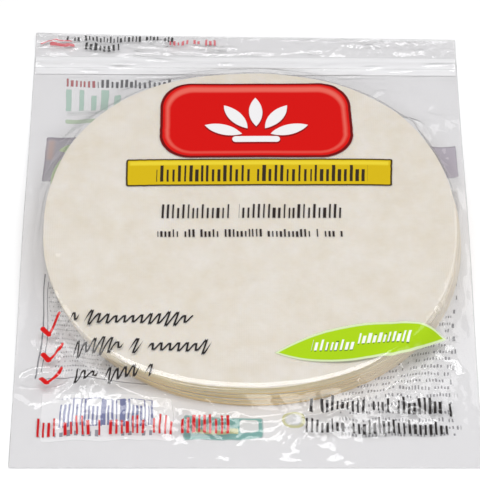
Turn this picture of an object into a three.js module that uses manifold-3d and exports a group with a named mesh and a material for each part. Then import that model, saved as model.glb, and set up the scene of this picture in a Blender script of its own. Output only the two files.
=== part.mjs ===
// A shut clear zip bag lying flat, with a stack of round rice paper sheets inside it.
// Bag and contents are one solid: the film's outer skin over the stack, the slack film round it,
// the zip strip across the back, the sealed edges and the folds that the film falls into.
// Millimetres, +Z up. The origin is under the middle of the bag's box, on the surface it lies on.
// The zip end is at +Y and the bottom seal at -Y.

import * as THREE from 'three';
import { mergeVertices } from 'three/addons/utils/BufferGeometryUtils.js';
import Module from 'manifold-3d';

const wasm = await Module();
wasm.setup();

// ---------------------------------------------------------------- driving dimensions

const BAG_WIDTH = 237; // across X, side seam to side seam
const BAG_LENGTH = 300; // along Y, bottom seal to zip end, on the longer left side
const TOP_SLANT = 5.5; // the zip end is cut this much short on the right
const FILM_EDGE = 1.0; // both films and the air between them, at the sealed edge
const FILM_SLACK = 2.4; // height of the slack film round the stack

const SHEET_RADIUS = 110.3; // the sheets are sold as 22 cm across
const SHEET_SQUARENESS = 1.8; // shifted sheets fill the outline out on the diagonals
const SHEET_COUNT = 32;
const SHEET_PITCH = 0.42; // one dried sheet on the next
const STACK_HEIGHT = SHEET_COUNT * SHEET_PITCH;
const STACK_X = 3.4; // the stack lies right of the bag's middle
const STACK_Y = -2.4;
const RIM_RADIUS = 1.2; // the film's bend over the top sheet's edge
const SHEET_WAVE = 0.35; // dried sheets are never quite flat

const FAN_ANGLE = -50; // degrees, where the sheets fan apart at the front right
const FAN_SPREAD = 22;
const FAN_LIFT = 1.6; // how far the top sheets rise there
const FAN_STEPS = 4; // terraces of sheet edges down the side
const FAN_FOOT = 4.5; // how far the lowest terrace stands out past the top one

// Zip strip: a welded tape with one round track between two low guide ribs.
const ZIP_Y = 124.5; // middle of the tape
const ZIP_TILT = 0.4; // degrees, its right end lies nearer
const ZIP_RIBS = [
  { offset: -5.6, width: 1.6, height: 0.7 },
  { offset: 0, width: 3.0, height: 1.7 },
  { offset: 5.6, width: 1.6, height: 0.7 },
];

const SIDE_WELD = 3; // the zip's ribs are crushed flat this near the side seams
const BOTTOM_SEAL = 9; // flat welded band at the bottom end

// Folds that run out from the stack: start and end in the bag's plan, ridge height and width.
const FOLDS = [
  { from: [-44, -107], to: [-26, -141], height: 1.5, width: 7 },
  { from: [-20, -113], to: [-12, -141], height: 1.2, width: 6 },
  { from: [2, -113], to: [26, -139], height: 1.5, width: 8 },
  { from: [37, -108], to: [42, -142], height: 1.4, width: 7 },
  { from: [54, -100], to: [70, -124], height: 2.0, width: 9 },
  { from: [80, -86], to: [88, -116], height: 1.7, width: 8 },
  { from: [-62, 97], to: [-88, 114], height: 1.4, width: 9 },
  { from: [88, 70], to: [112, 84], height: 1.5, width: 8 },
];

// A raised pocket of film in the front left corner.
const POCKET = { x: -104, y: -102.5, halfWidth: 14, halfDepth: 8.5, height: 3.6 };

const ANGLE_STEPS = 160;
const RIDGE_SINK = 0.2; // a ridge's edges lie this far under the film
const SLIVER = 0.05; // thinner slips of surface than this are smoothed away

// ---------------------------------------------------------------- plan outlines

const degrees = Math.PI / 180;
const halfWidth = BAG_WIDTH / 2;
const halfLength = BAG_LENGTH / 2;
const smooth = (low, high, value) => THREE.MathUtils.smoothstep(value, low, high);

// The bag's corners: three edges square to each other and a slanted zip end.
const outline = [
  new THREE.Vector2(-halfWidth, -halfLength),
  new THREE.Vector2(halfWidth, -halfLength),
  new THREE.Vector2(halfWidth, halfLength - TOP_SLANT),
  new THREE.Vector2(-halfWidth, halfLength),
];
const stackAngle = (point) => Math.atan2(point.y - STACK_Y, point.x - STACK_X);

// Where a ray from the stack's middle leaves the bag.
function outlinePoint(angle) {
  const ray = new THREE.Vector2(Math.cos(angle), Math.sin(angle));
  let reach = Infinity;
  for (let index = 0; index < outline.length; index += 1) {
    const a = outline[index];
    const b = outline[(index + 1) % outline.length];
    const edge = b.clone().sub(a);
    const start = new THREE.Vector2(a.x - STACK_X, a.y - STACK_Y);
    const cross = ray.x * edge.y - ray.y * edge.x;
    if (Math.abs(cross) < 1e-9) continue;
    const distance = (start.x * edge.y - start.y * edge.x) / cross;
    const along = (start.x * ray.y - start.y * ray.x) / cross;
    if (distance > 0 && along >= -1e-9 && along <= 1 + 1e-9) reach = Math.min(reach, distance);
  }
  return new THREE.Vector2(STACK_X + reach * ray.x, STACK_Y + reach * ray.y);
}

// Even steps of angle, with the nearest one moved onto each corner of the bag.
function rayAngles() {
  const step = (2 * Math.PI) / ANGLE_STEPS;
  const angles = Array.from({ length: ANGLE_STEPS }, (_, index) => -Math.PI + (index + 0.5) * step);
  for (const point of outline) {
    const index = Math.round((stackAngle(point) + Math.PI) / step - 0.5);
    angles[(index + ANGLE_STEPS) % ANGLE_STEPS] = stackAngle(point);
  }
  return angles.sort((a, b) => a - b);
}

const rimReach = (angle) => SHEET_RADIUS - SHEET_SQUARENESS * Math.cos(4 * angle);

// ---------------------------------------------------------------- heights of the outer film

// How much of the fan is at this angle: 1 in its middle, 0 away from it.
function fanShare(angle) {
  const off = angle / degrees - FAN_ANGLE;
  return Math.exp(-((off / FAN_SPREAD) ** 2));
}

// The film's width of fall from the stack's rim to the slack film: short at the front, where it
// clings to the sheets' edges, and long at the back, where the zip strip holds it up.
function skirtWidth(angle, gap) {
  const front = smooth(0.2, 0.9, -Math.sin(angle));
  const back = smooth(0.5, 0.95, Math.sin(angle));
  const wanted = 9 - 4 * front + 9 * back + FAN_FOOT * fanShare(angle);
  return Math.min(wanted, 0.86 * gap);
}

function stackTop(x, y) {
  const across = (x - STACK_X) / SHEET_RADIUS;
  const along = (y - STACK_Y) / SHEET_RADIUS;
  const radius = Math.min(1, Math.hypot(across, along));
  const wave = Math.sin(4.1 * across + 1.3 * along) * Math.cos(3.2 * along - 0.9 * across);
  const lift = FAN_LIFT * fanShare(Math.atan2(along, across)) * radius ** 6;
  return STACK_HEIGHT + SHEET_WAVE * wave * radius + lift;
}

// Slack film: low at the sealed edges, a little air in it further in.
function slackFilm(x, y) {
  const side = halfWidth - Math.abs(x);
  const top = halfLength - TOP_SLANT * (0.5 + x / BAG_WIDTH) - y;
  const bottom = y + halfLength - BOTTOM_SEAL;
  const air = smooth(0, 14, side) * smooth(0, 10, top) * smooth(0, 16, bottom);
  return FILM_EDGE + (FILM_SLACK - FILM_EDGE) * air;
}

function pocketHeight(x, y) {
  const reach = Math.hypot((x - POCKET.x) / POCKET.halfWidth, (y - POCKET.y) / POCKET.halfDepth);
  return POCKET.height * (1 - smooth(0.15, 1, reach));
}

// Height of the outer film at a place in the bag's plan.
function filmHeight(x, y) {
  const angle = Math.atan2(y - STACK_Y, x - STACK_X);
  const reach = Math.hypot(x - STACK_X, y - STACK_Y);
  const rim = rimReach(angle);
  const slack = slackFilm(x, y) + pocketHeight(x, y);
  if (reach <= rim) {
    const inward = THREE.MathUtils.clamp((reach - rim + RIM_RADIUS) / RIM_RADIUS, 0, 1);
    return stackTop(x, y) - RIM_RADIUS * (1 - Math.sqrt(1 - 0.75 * inward ** 2));
  }
  const edge = outlinePoint(angle);
  const gap = Math.hypot(edge.x - STACK_X, edge.y - STACK_Y) - rim;
  const fall = Math.min(1, (reach - rim) / skirtWidth(angle, gap));
  const rimX = STACK_X + rim * Math.cos(angle);
  const rimY = STACK_Y + rim * Math.sin(angle);
  const rimTop = stackTop(rimX, rimY) - RIM_RADIUS / 2;
  const tight = (1 - fall) ** 1.7;
  const terrace = 1 - Math.ceil(fall * FAN_STEPS - 1e-6) / (FAN_STEPS + 0.5);
  const share = 0.6 * fanShare(angle) * (fall < 1 ? 1 : 0);
  return slack + (rimTop - slack) * THREE.MathUtils.lerp(tight, Math.max(terrace, tight), share);
}

// ---------------------------------------------------------------- the bag's body

// Rings go out along every ray: over the stack, down the skirt, and over the slack film.
function ringFractions() {
  const overStack = [0.2, 0.4, 0.6, 0.78, 0.9, 0.965];
  const skirt = Array.from({ length: 2 * FAN_STEPS }, (_, index) => {
    const step = Math.floor(index / 2) / FAN_STEPS;
    return step + (index % 2 === 0 ? 0.03 : 0.22);
  });
  const slack = [0, 0.16, 0.34, 0.54, 0.76, 0.93, 1];
  return { overStack, skirt, slack };
}

function rayPoints(angle, fractions) {
  const rim = rimReach(angle);
  const edge = outlinePoint(angle);
  const reachOut = Math.hypot(edge.x - STACK_X, edge.y - STACK_Y);
  const foot = rim + skirtWidth(angle, reachOut - rim);
  const reaches = [
    ...fractions.overStack.map((fraction) => fraction * rim),
    rim - RIM_RADIUS,
    rim,
    ...fractions.skirt.map((fraction) => rim + fraction * (foot - rim)),
    ...fractions.slack.map((fraction) => foot + fraction * (reachOut - foot)),
  ];
  return reaches.map((reach) => {
    const x = STACK_X + reach * Math.cos(angle);
    const y = STACK_Y + reach * Math.sin(angle);
    return new THREE.Vector3(x, y, filmHeight(x, y));
  });
}

function bodyGeometry() {
  const fractions = ringFractions();
  const rays = rayAngles().map((angle) => rayPoints(angle, fractions));
  const rings = rays[0].length;
  const count = rays.length;
  const positions = [];
  const triangles = [];
  const push = (point) => positions.push(point.x, point.y, point.z) / 3 - 1;

  const centre = push(new THREE.Vector3(STACK_X, STACK_Y, stackTop(STACK_X, STACK_Y)));
  const top = rays.map((ray) => ray.map(push));
  const foot = rays.map((ray) => push(ray[rings - 1].clone().setZ(0)));
  const under = push(new THREE.Vector3(STACK_X, STACK_Y, 0));

  for (let index = 0; index < count; index += 1) {
    const next = (index + 1) % count;
    triangles.push(centre, top[index][0], top[next][0]);
    for (let ring = 0; ring + 1 < rings; ring += 1) {
      const [a, b] = [top[index][ring], top[index][ring + 1]];
      const [c, d] = [top[next][ring + 1], top[next][ring]];
      triangles.push(a, b, c, a, c, d);
    }
    const [a, b] = [top[index][rings - 1], foot[index]];
    const [c, d] = [foot[next], top[next][rings - 1]];
    triangles.push(a, b, c, a, c, d);
    triangles.push(under, foot[next], foot[index]);
  }
  const geometry = new THREE.BufferGeometry();
  geometry.setAttribute('position', new THREE.Float32BufferAttribute(positions, 3));
  geometry.setIndex(triangles);
  return geometry;
}

// ---------------------------------------------------------------- ridges laid on the film

const ROUND_RIB = [[-1, 0], [-0.6, 0.75], [0, 1], [0.6, 0.75], [1, 0]];
const SHARP_FOLD = [[-1, 0], [-0.4, 0.35], [0, 1], [0.4, 0.35], [1, 0]];

// A closed bar that follows the film along a straight line in plan. Its section is the given
// profile, of pairs across and up, which swells from nothing at the ends where swell is true.
function ridgeGeometry({ from, to, width, height, profile, swell, steps }) {
  const start = new THREE.Vector2(...from);
  const run = new THREE.Vector2(...to).sub(start);
  const side = new THREE.Vector2(-run.y, run.x).setLength(width / 2);
  const positions = [];
  const sections = [];
  for (let step = 0; step <= steps; step += 1) {
    const along = step / steps;
    const middle = start.clone().addScaledVector(run, along);
    const share = swell ? Math.sin(Math.PI * THREE.MathUtils.lerp(0.1, 0.9, along)) : 1;
    const section = profile.map(([across, rise]) => {
      const place = middle.clone().addScaledVector(side, across * Math.sqrt(share));
      const z = filmHeight(place.x, place.y) + height * share * rise - RIDGE_SINK * (1 - rise);
      return positions.push(place.x, place.y, z) / 3 - 1;
    });
    const buried = [1, -1].map((across) => {
      const place = middle.clone().addScaledVector(side, across * Math.sqrt(share));
      return positions.push(place.x, place.y, FILM_EDGE / 2) / 3 - 1;
    });
    sections.push([...section, ...buried]);
  }
  const triangles = [];
  const size = sections[0].length;
  for (let step = 0; step < steps; step += 1) {
    for (let corner = 0; corner < size; corner += 1) {
      const next = (corner + 1) % size;
      const [a, b] = [sections[step][corner], sections[step][next]];
      const [c, d] = [sections[step + 1][next], sections[step + 1][corner]];
      triangles.push(a, c, b, a, d, c);
    }
  }
  for (let corner = 1; corner + 1 < size; corner += 1) {
    triangles.push(sections[0][0], sections[0][corner], sections[0][corner + 1]);
    triangles.push(sections[steps][0], sections[steps][corner + 1], sections[steps][corner]);
  }
  const geometry = new THREE.BufferGeometry();
  geometry.setAttribute('position', new THREE.Float32BufferAttribute(positions, 3));
  geometry.setIndex(triangles);
  return geometry;
}

function zipRibs() {
  const end = halfWidth - SIDE_WELD;
  const fall = end * Math.tan(ZIP_TILT * degrees);
  return ZIP_RIBS.map((rib) => {
    const from = [-end, ZIP_Y + rib.offset + fall];
    const to = [end, ZIP_Y + rib.offset - fall];
    return ridgeGeometry({ ...rib, from, to, profile: ROUND_RIB, swell: false, steps: 40 });
  });
}

function foldRidges() {
  return FOLDS.map((fold) => ridgeGeometry({ ...fold, profile: SHARP_FOLD, swell: true, steps: 10 }));
}

// ---------------------------------------------------------------- joining into one solid

function toSolid(geometry) {
  const merged = mergeVertices(geometry, 1e-4);
  return new wasm.Manifold(new wasm.Mesh({
    numProp: 3,
    vertProperties: Float32Array.from(merged.attributes.position.array),
    triVerts: Uint32Array.from(merged.index.array),
  }));
}

function toGeometry(solid) {
  const mesh = solid.getMesh();
  const geometry = new THREE.BufferGeometry();
  geometry.setAttribute('position', new THREE.Float32BufferAttribute(mesh.vertProperties, 3));
  geometry.setIndex(Array.from(mesh.triVerts));
  geometry.computeVertexNormals();
  return geometry;
}

const ridges = [...zipRibs(), ...foldRidges()];
const bagSolid = ridges
  .reduce((solid, ridge) => solid.add(toSolid(ridge)), toSolid(bodyGeometry()))
  .simplify(SLIVER);

const bag = new THREE.Mesh(
  toGeometry(bagSolid),
  new THREE.MeshStandardMaterial({ color: 0xe2dacf, roughness: 0.25, metalness: 0 }),
);
bag.name = 'bag';

const group = new THREE.Group();
group.add(bag);

export default group;
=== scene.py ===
"""A clear printed zip bag lying on its back with a stack of dried rice paper sheets shut inside it.

The bag's film is one closed skin: a front sheet draped over the stack by cloth simulation, and a
back sheet on the table. Inside it lie the separate sheets and the zip. Lengths are in metres in the
frame of the CAD model; what is easier to read in millimetres is written n * MM.
"""

import math

import bpy
import numpy as np
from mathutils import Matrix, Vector
from mathutils.noise import noise as noise_at


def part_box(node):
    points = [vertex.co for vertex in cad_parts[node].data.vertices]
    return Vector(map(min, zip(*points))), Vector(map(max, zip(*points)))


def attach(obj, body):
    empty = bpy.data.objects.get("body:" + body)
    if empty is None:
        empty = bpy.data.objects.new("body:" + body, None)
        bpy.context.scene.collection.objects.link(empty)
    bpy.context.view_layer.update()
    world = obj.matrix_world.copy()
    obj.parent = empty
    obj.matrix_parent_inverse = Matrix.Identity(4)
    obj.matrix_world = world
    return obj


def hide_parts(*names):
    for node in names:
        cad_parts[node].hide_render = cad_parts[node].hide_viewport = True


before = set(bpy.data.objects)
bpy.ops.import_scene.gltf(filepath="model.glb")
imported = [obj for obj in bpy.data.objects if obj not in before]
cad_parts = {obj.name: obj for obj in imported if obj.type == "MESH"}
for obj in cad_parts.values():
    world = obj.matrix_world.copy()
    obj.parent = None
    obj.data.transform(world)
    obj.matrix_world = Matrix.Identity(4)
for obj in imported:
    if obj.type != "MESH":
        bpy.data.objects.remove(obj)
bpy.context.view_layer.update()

MM = 0.001
bag_low, bag_high = (Vector(corner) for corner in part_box("bag"))

# ---- sizes of the real pack

BAG_WIDTH = bag_high.x - bag_low.x
BAG_LENGTH = bag_high.y - bag_low.y
TOP_SLANT = 5.5 * MM  # the zip end is cut this much short on the right

SHEET_COUNT = 32
SHEET_PITCH = 0.42 * MM
SHEET_THICKNESS = 0.41 * MM
SHEET_RADIUS = 110.3 * MM
SHEET_SQUARENESS = 1.8 * MM  # how far the top sheet departs from a circle
STACK_TAPER = 0.9 * MM  # the lowest sheet's radius is this much less
STACK_HEIGHT = SHEET_COUNT * SHEET_PITCH
STACK_TOP = (2.4 * MM, -1.4 * MM)  # middle of the top sheet
STACK_FOOT = (5.0 * MM, -1.7 * MM)  # middle of the lowest sheet: the stack leans
FAN_ANGLE = math.radians(-50)  # where the top sheets spring apart
FAN_SPREAD = math.radians(24)
FAN_LIFT = 1.6 * MM
WAVE_HEIGHT = 0.3 * MM  # of the dried sheets

ZIP_Y = 124.5 * MM
ZIP_SLOPE = -math.tan(math.radians(0.4))
ZIP_RIBS = (  # how far each is off the zip's middle, its width and its height
    (-5.4 * MM, 2.4 * MM, 0.35 * MM), (0.0, 3.8 * MM, 0.9 * MM), (5.4 * MM, 2.4 * MM, 0.35 * MM),
)
ZIP_TAPE = (0.0, 12.4 * MM, 0.3 * MM)
ZIP_FLOOR = 0.3 * MM  # height at which the tape and the ribs lie
ZIP_TAPE_HALF = 7.5 * MM  # half the width over which the zip holds up the film

FILM_GAP = 0.45 * MM  # the film rides this far over what it covers
RIM_BEND = 11 * MM  # radius of the film's bend over the front rim
RIM_LIFT = 1.15 * MM  # how far it rises before that bend
FLAT_WIDTH = 244 * MM  # the empty bag's flat width and length
FLAT_LENGTH = 310 * MM
ON_SEAM = 0.1 * MM  # film nearer than this to the outline belongs to the seam


def ramp(value, start, span):
    """Rises from 0 to 1 over this span from this start, both in mm."""
    return np.clip((value - start * MM) / (span * MM), 0, 1)


def bell(value, middle, width):
    """1 at the middle, and less the more widths away from it."""
    return np.exp(-(((value - middle) / width) ** 2))


def ease(share):
    """Rounds off both ends of a rise from 0 to 1."""
    return share * share * (3 - 2 * share)


# ---- working with Blender's operators


def pick_only(*pieces):
    """Selects these objects alone; the first is the active one."""
    bpy.ops.object.select_all(action="DESELECT")
    for piece in pieces:
        piece.select_set(True)
    bpy.context.view_layer.objects.active = pieces[0]


def new_piece(name):
    """Names the primitive that was just added."""
    piece = bpy.context.object
    piece.name = name
    piece.data.name = name
    return piece


def read_all(elements, field, size=1):
    """One field of all these mesh elements: whole numbers, or rows of this many measures."""
    values = np.empty(len(elements) * size, dtype=int if size == 1 else float)
    elements.foreach_get(field, values)
    return values if size == 1 else values.reshape(-1, size)


def points_of(piece):
    return read_all(piece.data.vertices, "co", 3)


def place_points(piece, points):
    piece.data.vertices.foreach_set("co", np.asarray(points).ravel())
    piece.data.update()


def apply_modifiers(piece):
    pick_only(piece)
    for modifier in list(piece.modifiers):
        bpy.ops.object.modifier_apply(modifier=modifier.name)


def settle(piece):
    """Moves the object's own placing into its mesh."""
    pick_only(piece)
    bpy.ops.object.transform_apply(location=True, rotation=True, scale=True)


def ring_caps(insets):
    """Lays rings, one inside the other, into the active piece's two round ends."""
    bpy.ops.object.mode_set(mode="EDIT")
    bpy.ops.mesh.select_mode(type="FACE")
    bpy.ops.mesh.select_all(action="DESELECT")
    bpy.ops.mesh.select_face_by_sides(number=4, type="GREATER")
    for inset in insets:
        bpy.ops.mesh.inset(thickness=inset)
    bpy.ops.mesh.select_mode(type="VERT")
    bpy.ops.object.mode_set(mode="OBJECT")


# ---- camera, floor and light

# The photograph's camera: 50 degrees down, 1.48 m off, a long lens. It looks at a point left of
# the stack's middle, because the pack is cropped off centre in the picture.
CAMERA_TILT = math.radians(50)
CAMERA_DISTANCE = 1.48
CAMERA_LENS = 210  # mm
CAMERA_AIM = Vector((-3.0 * MM, -1.5 * MM, 0.0))

SOFT_LIGHTS = (  # name, place, width and depth, power
    ("overhead_softbox", (0.0, -0.03, 1.2), (1.2, 0.42), 9.4),
    ("back_right_softbox", (1.05, 0.75, 1.0), (1.0, 1.0), 6.0),
    ("left_softbox", (-1.1, 0.0, 1.0), (0.8, 0.8), 5.6),
    ("right_softbox", (1.1, -0.5, 1.0), (0.6, 0.8), 2.1),
    ("front_softbox", (0.4, -1.2, 0.8), (0.9, 0.5), 6.1),
)
SKY_STRENGTH = 0.18


def add_camera():
    away = Vector((0, -math.cos(CAMERA_TILT), math.sin(CAMERA_TILT)))
    bpy.ops.object.camera_add(
        location=CAMERA_AIM + CAMERA_DISTANCE * away,
        rotation=(math.radians(90) - CAMERA_TILT, 0, 0),
    )
    camera = bpy.context.object
    camera.data.lens = CAMERA_LENS
    camera.data.clip_start = 0.05
    bpy.context.scene.camera = camera


def add_soft_light(name, place, size, power):
    """A soft box that faces the pack."""
    bpy.ops.object.light_add(type="AREA", location=place)
    light = bpy.context.object
    light.name = name
    light.data.shape = "RECTANGLE"
    light.data.size, light.data.size_y = size
    light.data.energy = power
    light.rotation_euler = Vector(place).to_track_quat("Z", "Y").to_euler()


def add_studio():
    bpy.ops.mesh.primitive_plane_add(size=6)
    floor = new_piece("studio_floor")
    paint = bpy.data.materials.new("studio_floor")
    paint.use_nodes = True
    surface = paint.node_tree.nodes["Principled BSDF"]
    surface.inputs["Base Color"].default_value = (0.88, 0.88, 0.885, 1)
    surface.inputs["Roughness"].default_value = 0.9
    surface.inputs["Specular IOR Level"].default_value = 0.0
    floor.data.materials.append(paint)

    for light in SOFT_LIGHTS:
        add_soft_light(*light)

    world = bpy.data.worlds.new("studio")
    bpy.context.scene.world = world
    world.use_nodes = True
    sky = world.node_tree.nodes["Background"]
    sky.inputs["Color"].default_value = (1, 1, 1, 1)
    sky.inputs["Strength"].default_value = SKY_STRENGTH
    bpy.context.scene.view_settings.view_transform = "Standard"


add_camera()
add_studio()

# ---- the stack's form


def rim_radius(angle, level=1.0):
    """Radius of the sheet at this share of the stack's height: the lower ones are a little less."""
    squareness = SHEET_SQUARENESS * (0.3 + 0.7 * level)
    return SHEET_RADIUS - STACK_TAPER * (1 - level) - squareness * np.cos(4 * angle)


def fan_share(angle):
    """1 where the sheets spring apart most, 0 away from there."""
    off = (angle - FAN_ANGLE + math.pi) % (2 * math.pi) - math.pi
    return bell(off, 0, FAN_SPREAD)


def stack_middle(level):
    """The middle of the sheet at this share of the stack's height."""
    return [foot + (top - foot) * level for foot, top in zip(STACK_FOOT, STACK_TOP)]


def sheet_rise(angle, reach):
    """How far dried waves and the fan lift the top sheet; reach is 0 at its middle, 1 at its rim."""
    x, y = reach * np.cos(angle), reach * np.sin(angle)
    wave = WAVE_HEIGHT * np.sin(4.1 * x + 1.3 * y) * np.cos(3.2 * y - 0.9 * x) * reach
    return wave + FAN_LIFT * fan_share(angle) * reach**6


def stack_surface(x, y):
    """Height of the top sheet over a place in plan, and how far outside its rim the place is."""
    middle = stack_middle(1)
    angle = np.arctan2(y - middle[1], x - middle[0])
    reach = np.hypot(x - middle[0], y - middle[1])
    rim = rim_radius(angle)
    height = STACK_HEIGHT + sheet_rise(angle, np.minimum(reach / rim, 1))
    return height, reach - rim, angle


# ---- the film's form before draping


def top_edge(x):
    """Y of the slanted zip end."""
    return BAG_LENGTH / 2 - TOP_SLANT * (x / BAG_WIDTH + 0.5)


def edge_distance(x, y):
    """How far inside the bag's outline a place is."""
    return np.minimum.reduce([BAG_WIDTH / 2 - np.abs(x), y + BAG_LENGTH / 2, top_edge(x) - y])


def off_zip(x, y):
    """How far behind the zip's middle a place is."""
    return y - ZIP_Y - ZIP_SLOPE * x


def seam_height(x, y):
    """Beside the stack the taut film lifts the side seams off the table."""
    near = bell(y, STACK_FOOT[1], 60 * MM)
    curl = ramp(y, 135, 15) ** 2 * np.clip(x / BAG_WIDTH * 4 - 1, 0, 1)
    return 0.4 * MM + near * np.where(x > 0, 6.5 * MM, 5.5 * MM) + 2.5 * MM * curl


def zip_relief(x, y):
    """Height of the film over the zip's ribs."""
    across = off_zip(x, y)
    height = 0.5 * MM * np.clip((ZIP_TAPE_HALF + 1.5 * MM - np.abs(across)) / (4 * MM), 0, 1)
    for offset, width, rise in ZIP_RIBS:
        arch = np.clip(1 - (np.abs(across - offset) / (0.75 * width)) ** 2, 0, 1)
        height = np.maximum(height, 0.5 * MM + rise * np.sqrt(arch))
    return height


# Long folds that the film falls into: where each starts and ends in plan (mm), height and width.
FOLDS = (
    (-44, -107, -26, -146, 1.2, 9), (-20, -113, -10, -146, 0.9, 8), (2, -113, 28, -143, 1.1, 9),
    (37, -108, 44, -146, 1.1, 8), (54, -100, 72, -130, 2.0, 10), (80, -86, 96, -125, 1.7, 10),
    (-62, 97, -95, 112, 2.0, 9), (88, 70, 114, 86, 2.0, 9), (-75, -85, -100, -128, 2.0, 10),
    (-100, 60, -116, 75, 1.5, 8), (105, -45, 116, -60, 1.5, 8), (100, -70, 117, -95, 1.8, 9),
)


def off_line(x, y, ends):
    """How far places lie off a line whose ends are in mm, and how far along it, 0 to 1."""
    ax, ay, bx, by = (value * MM for value in ends)
    run = np.array([bx - ax, by - ay])
    along = np.clip(((x - ax) * run[0] + (y - ay) * run[1]) / run.dot(run), 0, 1)
    return np.hypot(x - ax - along * run[0], y - ay - along * run[1]), along


def fold_relief(x, y):
    height = np.zeros_like(x)
    for *ends, rise, width in FOLDS:
        off, along = off_line(x, y, ends)
        swell = np.sin(math.pi * (0.1 + 0.8 * along))
        height += rise * MM * np.clip(1 - off / (width * MM), 0, 1) * swell
    return height


def pocket_relief(x, y):
    """A blown pocket of film in the front left corner."""
    reach = np.hypot((x + 104 * MM) / (14 * MM), (y + 102.5 * MM) / (8.5 * MM))
    return 4.5 * MM * np.clip(1 - reach, 0, 1) ** 0.8


def film_start(x, y):
    """Height of the front film before it is draped."""
    top, outside, angle = stack_surface(x, y)
    edge = edge_distance(x, y)
    inner = ramp(edge, 0, 9)
    fall = 10 * MM + 8 * MM * np.clip((np.sin(angle) - 0.4) / 0.5, 0, 1) + 3 * MM * fan_share(angle)
    skirt = (top + FILM_GAP) * np.clip(1 - (outside - FILM_GAP) / fall, 0, 1) ** 1.2
    height = np.maximum(skirt, 1.2 * MM * inner)
    height = np.maximum(height, seam_height(x, y) * (1 - inner) + 0.6 * MM * inner)
    slack = (outside > FILM_GAP) * inner
    height = height + slack * fold_relief(x, y) + pocket_relief(x, y)
    return np.maximum(height, zip_relief(x, y) * ramp(edge, 0, 2))


# ---- draping the front film

FILM_COLUMNS = 96
FILM_ROWS = 120
ZIP_ROWS_SHARE = 0.62  # rows are this much closer together over the zip
ZIP_ROWS_SPREAD = 0.035  # as a share of the film's length
SIM_SCALE = 10  # the solver works at ten times the size, where its least distances are small
SIM_FRAMES = 30
SIM_GRAVITY = 3.0


def even_along(path_a, path_b, path_c, shares):
    """Moves the points of a path to the given shares of its length."""
    steps = np.sqrt(np.diff(path_a) ** 2 + np.diff(path_b) ** 2 + np.diff(path_c) ** 2)
    length = np.concatenate([[0], np.cumsum(steps)])
    wanted = shares * length[-1]
    return np.interp(wanted, length, path_a), np.interp(wanted, length, path_b)


def row_shares():
    """Shares of the film's length at which its rows lie, closer together over the zip."""
    middles = (np.arange(FILM_ROWS) + 0.5) / FILM_ROWS
    zip_share = (ZIP_Y + BAG_LENGTH / 2) / BAG_LENGTH
    spacing = 1 - ZIP_ROWS_SHARE * bell(middles, zip_share, ZIP_ROWS_SPREAD)
    shares = np.concatenate([[0], np.cumsum(spacing)])
    return shares / shares[-1]


def film_layout():
    """Rows of film points over the tent, spread by length of film, and their flat places."""
    column = np.linspace(0, 1, FILM_COLUMNS + 1)
    row = row_shares()
    x, share = np.meshgrid((column - 0.5) * BAG_WIDTH, row)
    y = -BAG_LENGTH / 2 + share * (top_edge(x) + BAG_LENGTH / 2)
    for _ in range(6):
        height = film_start(x, y)
        for index in range(FILM_ROWS + 1):
            x[index], y[index] = even_along(x[index], y[index], height[index], column)
        height = film_start(x, y)
        for index in range(FILM_COLUMNS + 1):
            x[:, index], y[:, index] = even_along(x[:, index], y[:, index], height[:, index], row)
    points = np.stack([x, y, film_start(x, y)], axis=-1).reshape(-1, 3)
    flat_x, flat_share = np.meshgrid((column - 0.5) * FLAT_WIDTH, row)
    flat_length = FLAT_LENGTH - TOP_SLANT * (flat_x / FLAT_WIDTH + 0.5)
    flat_y = -FLAT_LENGTH / 2 + flat_share * flat_length
    return points, np.stack([flat_x, flat_y, 0 * flat_x], axis=-1).reshape(-1, 3)


def on_seam(flat):
    """Marks the points whose flat place lies on the empty bag's outline."""
    x, y = flat[:, 0], flat[:, 1]
    top = FLAT_LENGTH / 2 - TOP_SLANT * (x / FLAT_WIDTH + 0.5)
    return np.minimum.reduce([FLAT_WIDTH / 2 - np.abs(x), y + FLAT_LENGTH / 2, top - y]) < ON_SEAM


def print_places(points, flat):
    """Where each film point lies in the print: its flat place, with the kinks smoothed out."""
    shape = (FILM_ROWS + 1, FILM_COLUMNS + 1, 2)
    stretch = (flat[:, :2] - points[:, :2]).reshape(shape)
    for _ in range(12):
        padded = np.pad(stretch, ((1, 1), (1, 1), (0, 0)), mode="edge")
        rows = (padded[:-2] + 2 * padded[1:-1] + padded[2:]) / 4
        stretch = (rows[:, :-2] + 2 * rows[:, 1:-1] + rows[:, 2:]) / 4
    return points[:, :2] + stretch.reshape(-1, 2)


def film_grid(name, points, places):
    """A grid of film at these points, with a UV map that holds its print places in millimetres."""
    bpy.ops.mesh.primitive_grid_add(x_subdivisions=FILM_COLUMNS, y_subdivisions=FILM_ROWS, size=1)
    piece = new_piece(name)
    place_points(piece, points)
    layer = piece.data.uv_layers[0]
    layer.name = "film_mm"
    corners = read_all(piece.data.loops, "vertex_index")
    layer.data.foreach_set("uv", (places[corners] / MM).ravel())
    return piece


def stack_dummy():
    """The stack's outer form, for the film to lie on."""
    bpy.ops.mesh.primitive_cylinder_add(vertices=144, radius=1, depth=1, end_fill_type="NGON")
    dummy = new_piece("stack_dummy")
    ring_caps((0.02, 0.05, 0.1, 0.15, 0.2, 0.2, 0.2))
    points = points_of(dummy)
    angle = np.arctan2(points[:, 1], points[:, 0])
    reach = np.hypot(points[:, 0], points[:, 1])
    level = (points[:, 2] > 0).astype(float)
    middle = np.stack(stack_middle(level), axis=-1)
    outward = np.stack([np.cos(angle), np.sin(angle)], axis=-1)
    spread = (reach * rim_radius(angle, level))[:, None] * outward
    height = level * (STACK_HEIGHT + sheet_rise(angle, reach))
    place_points(dummy, np.column_stack([middle + spread, height]) * SIM_SCALE)
    return dummy


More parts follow.
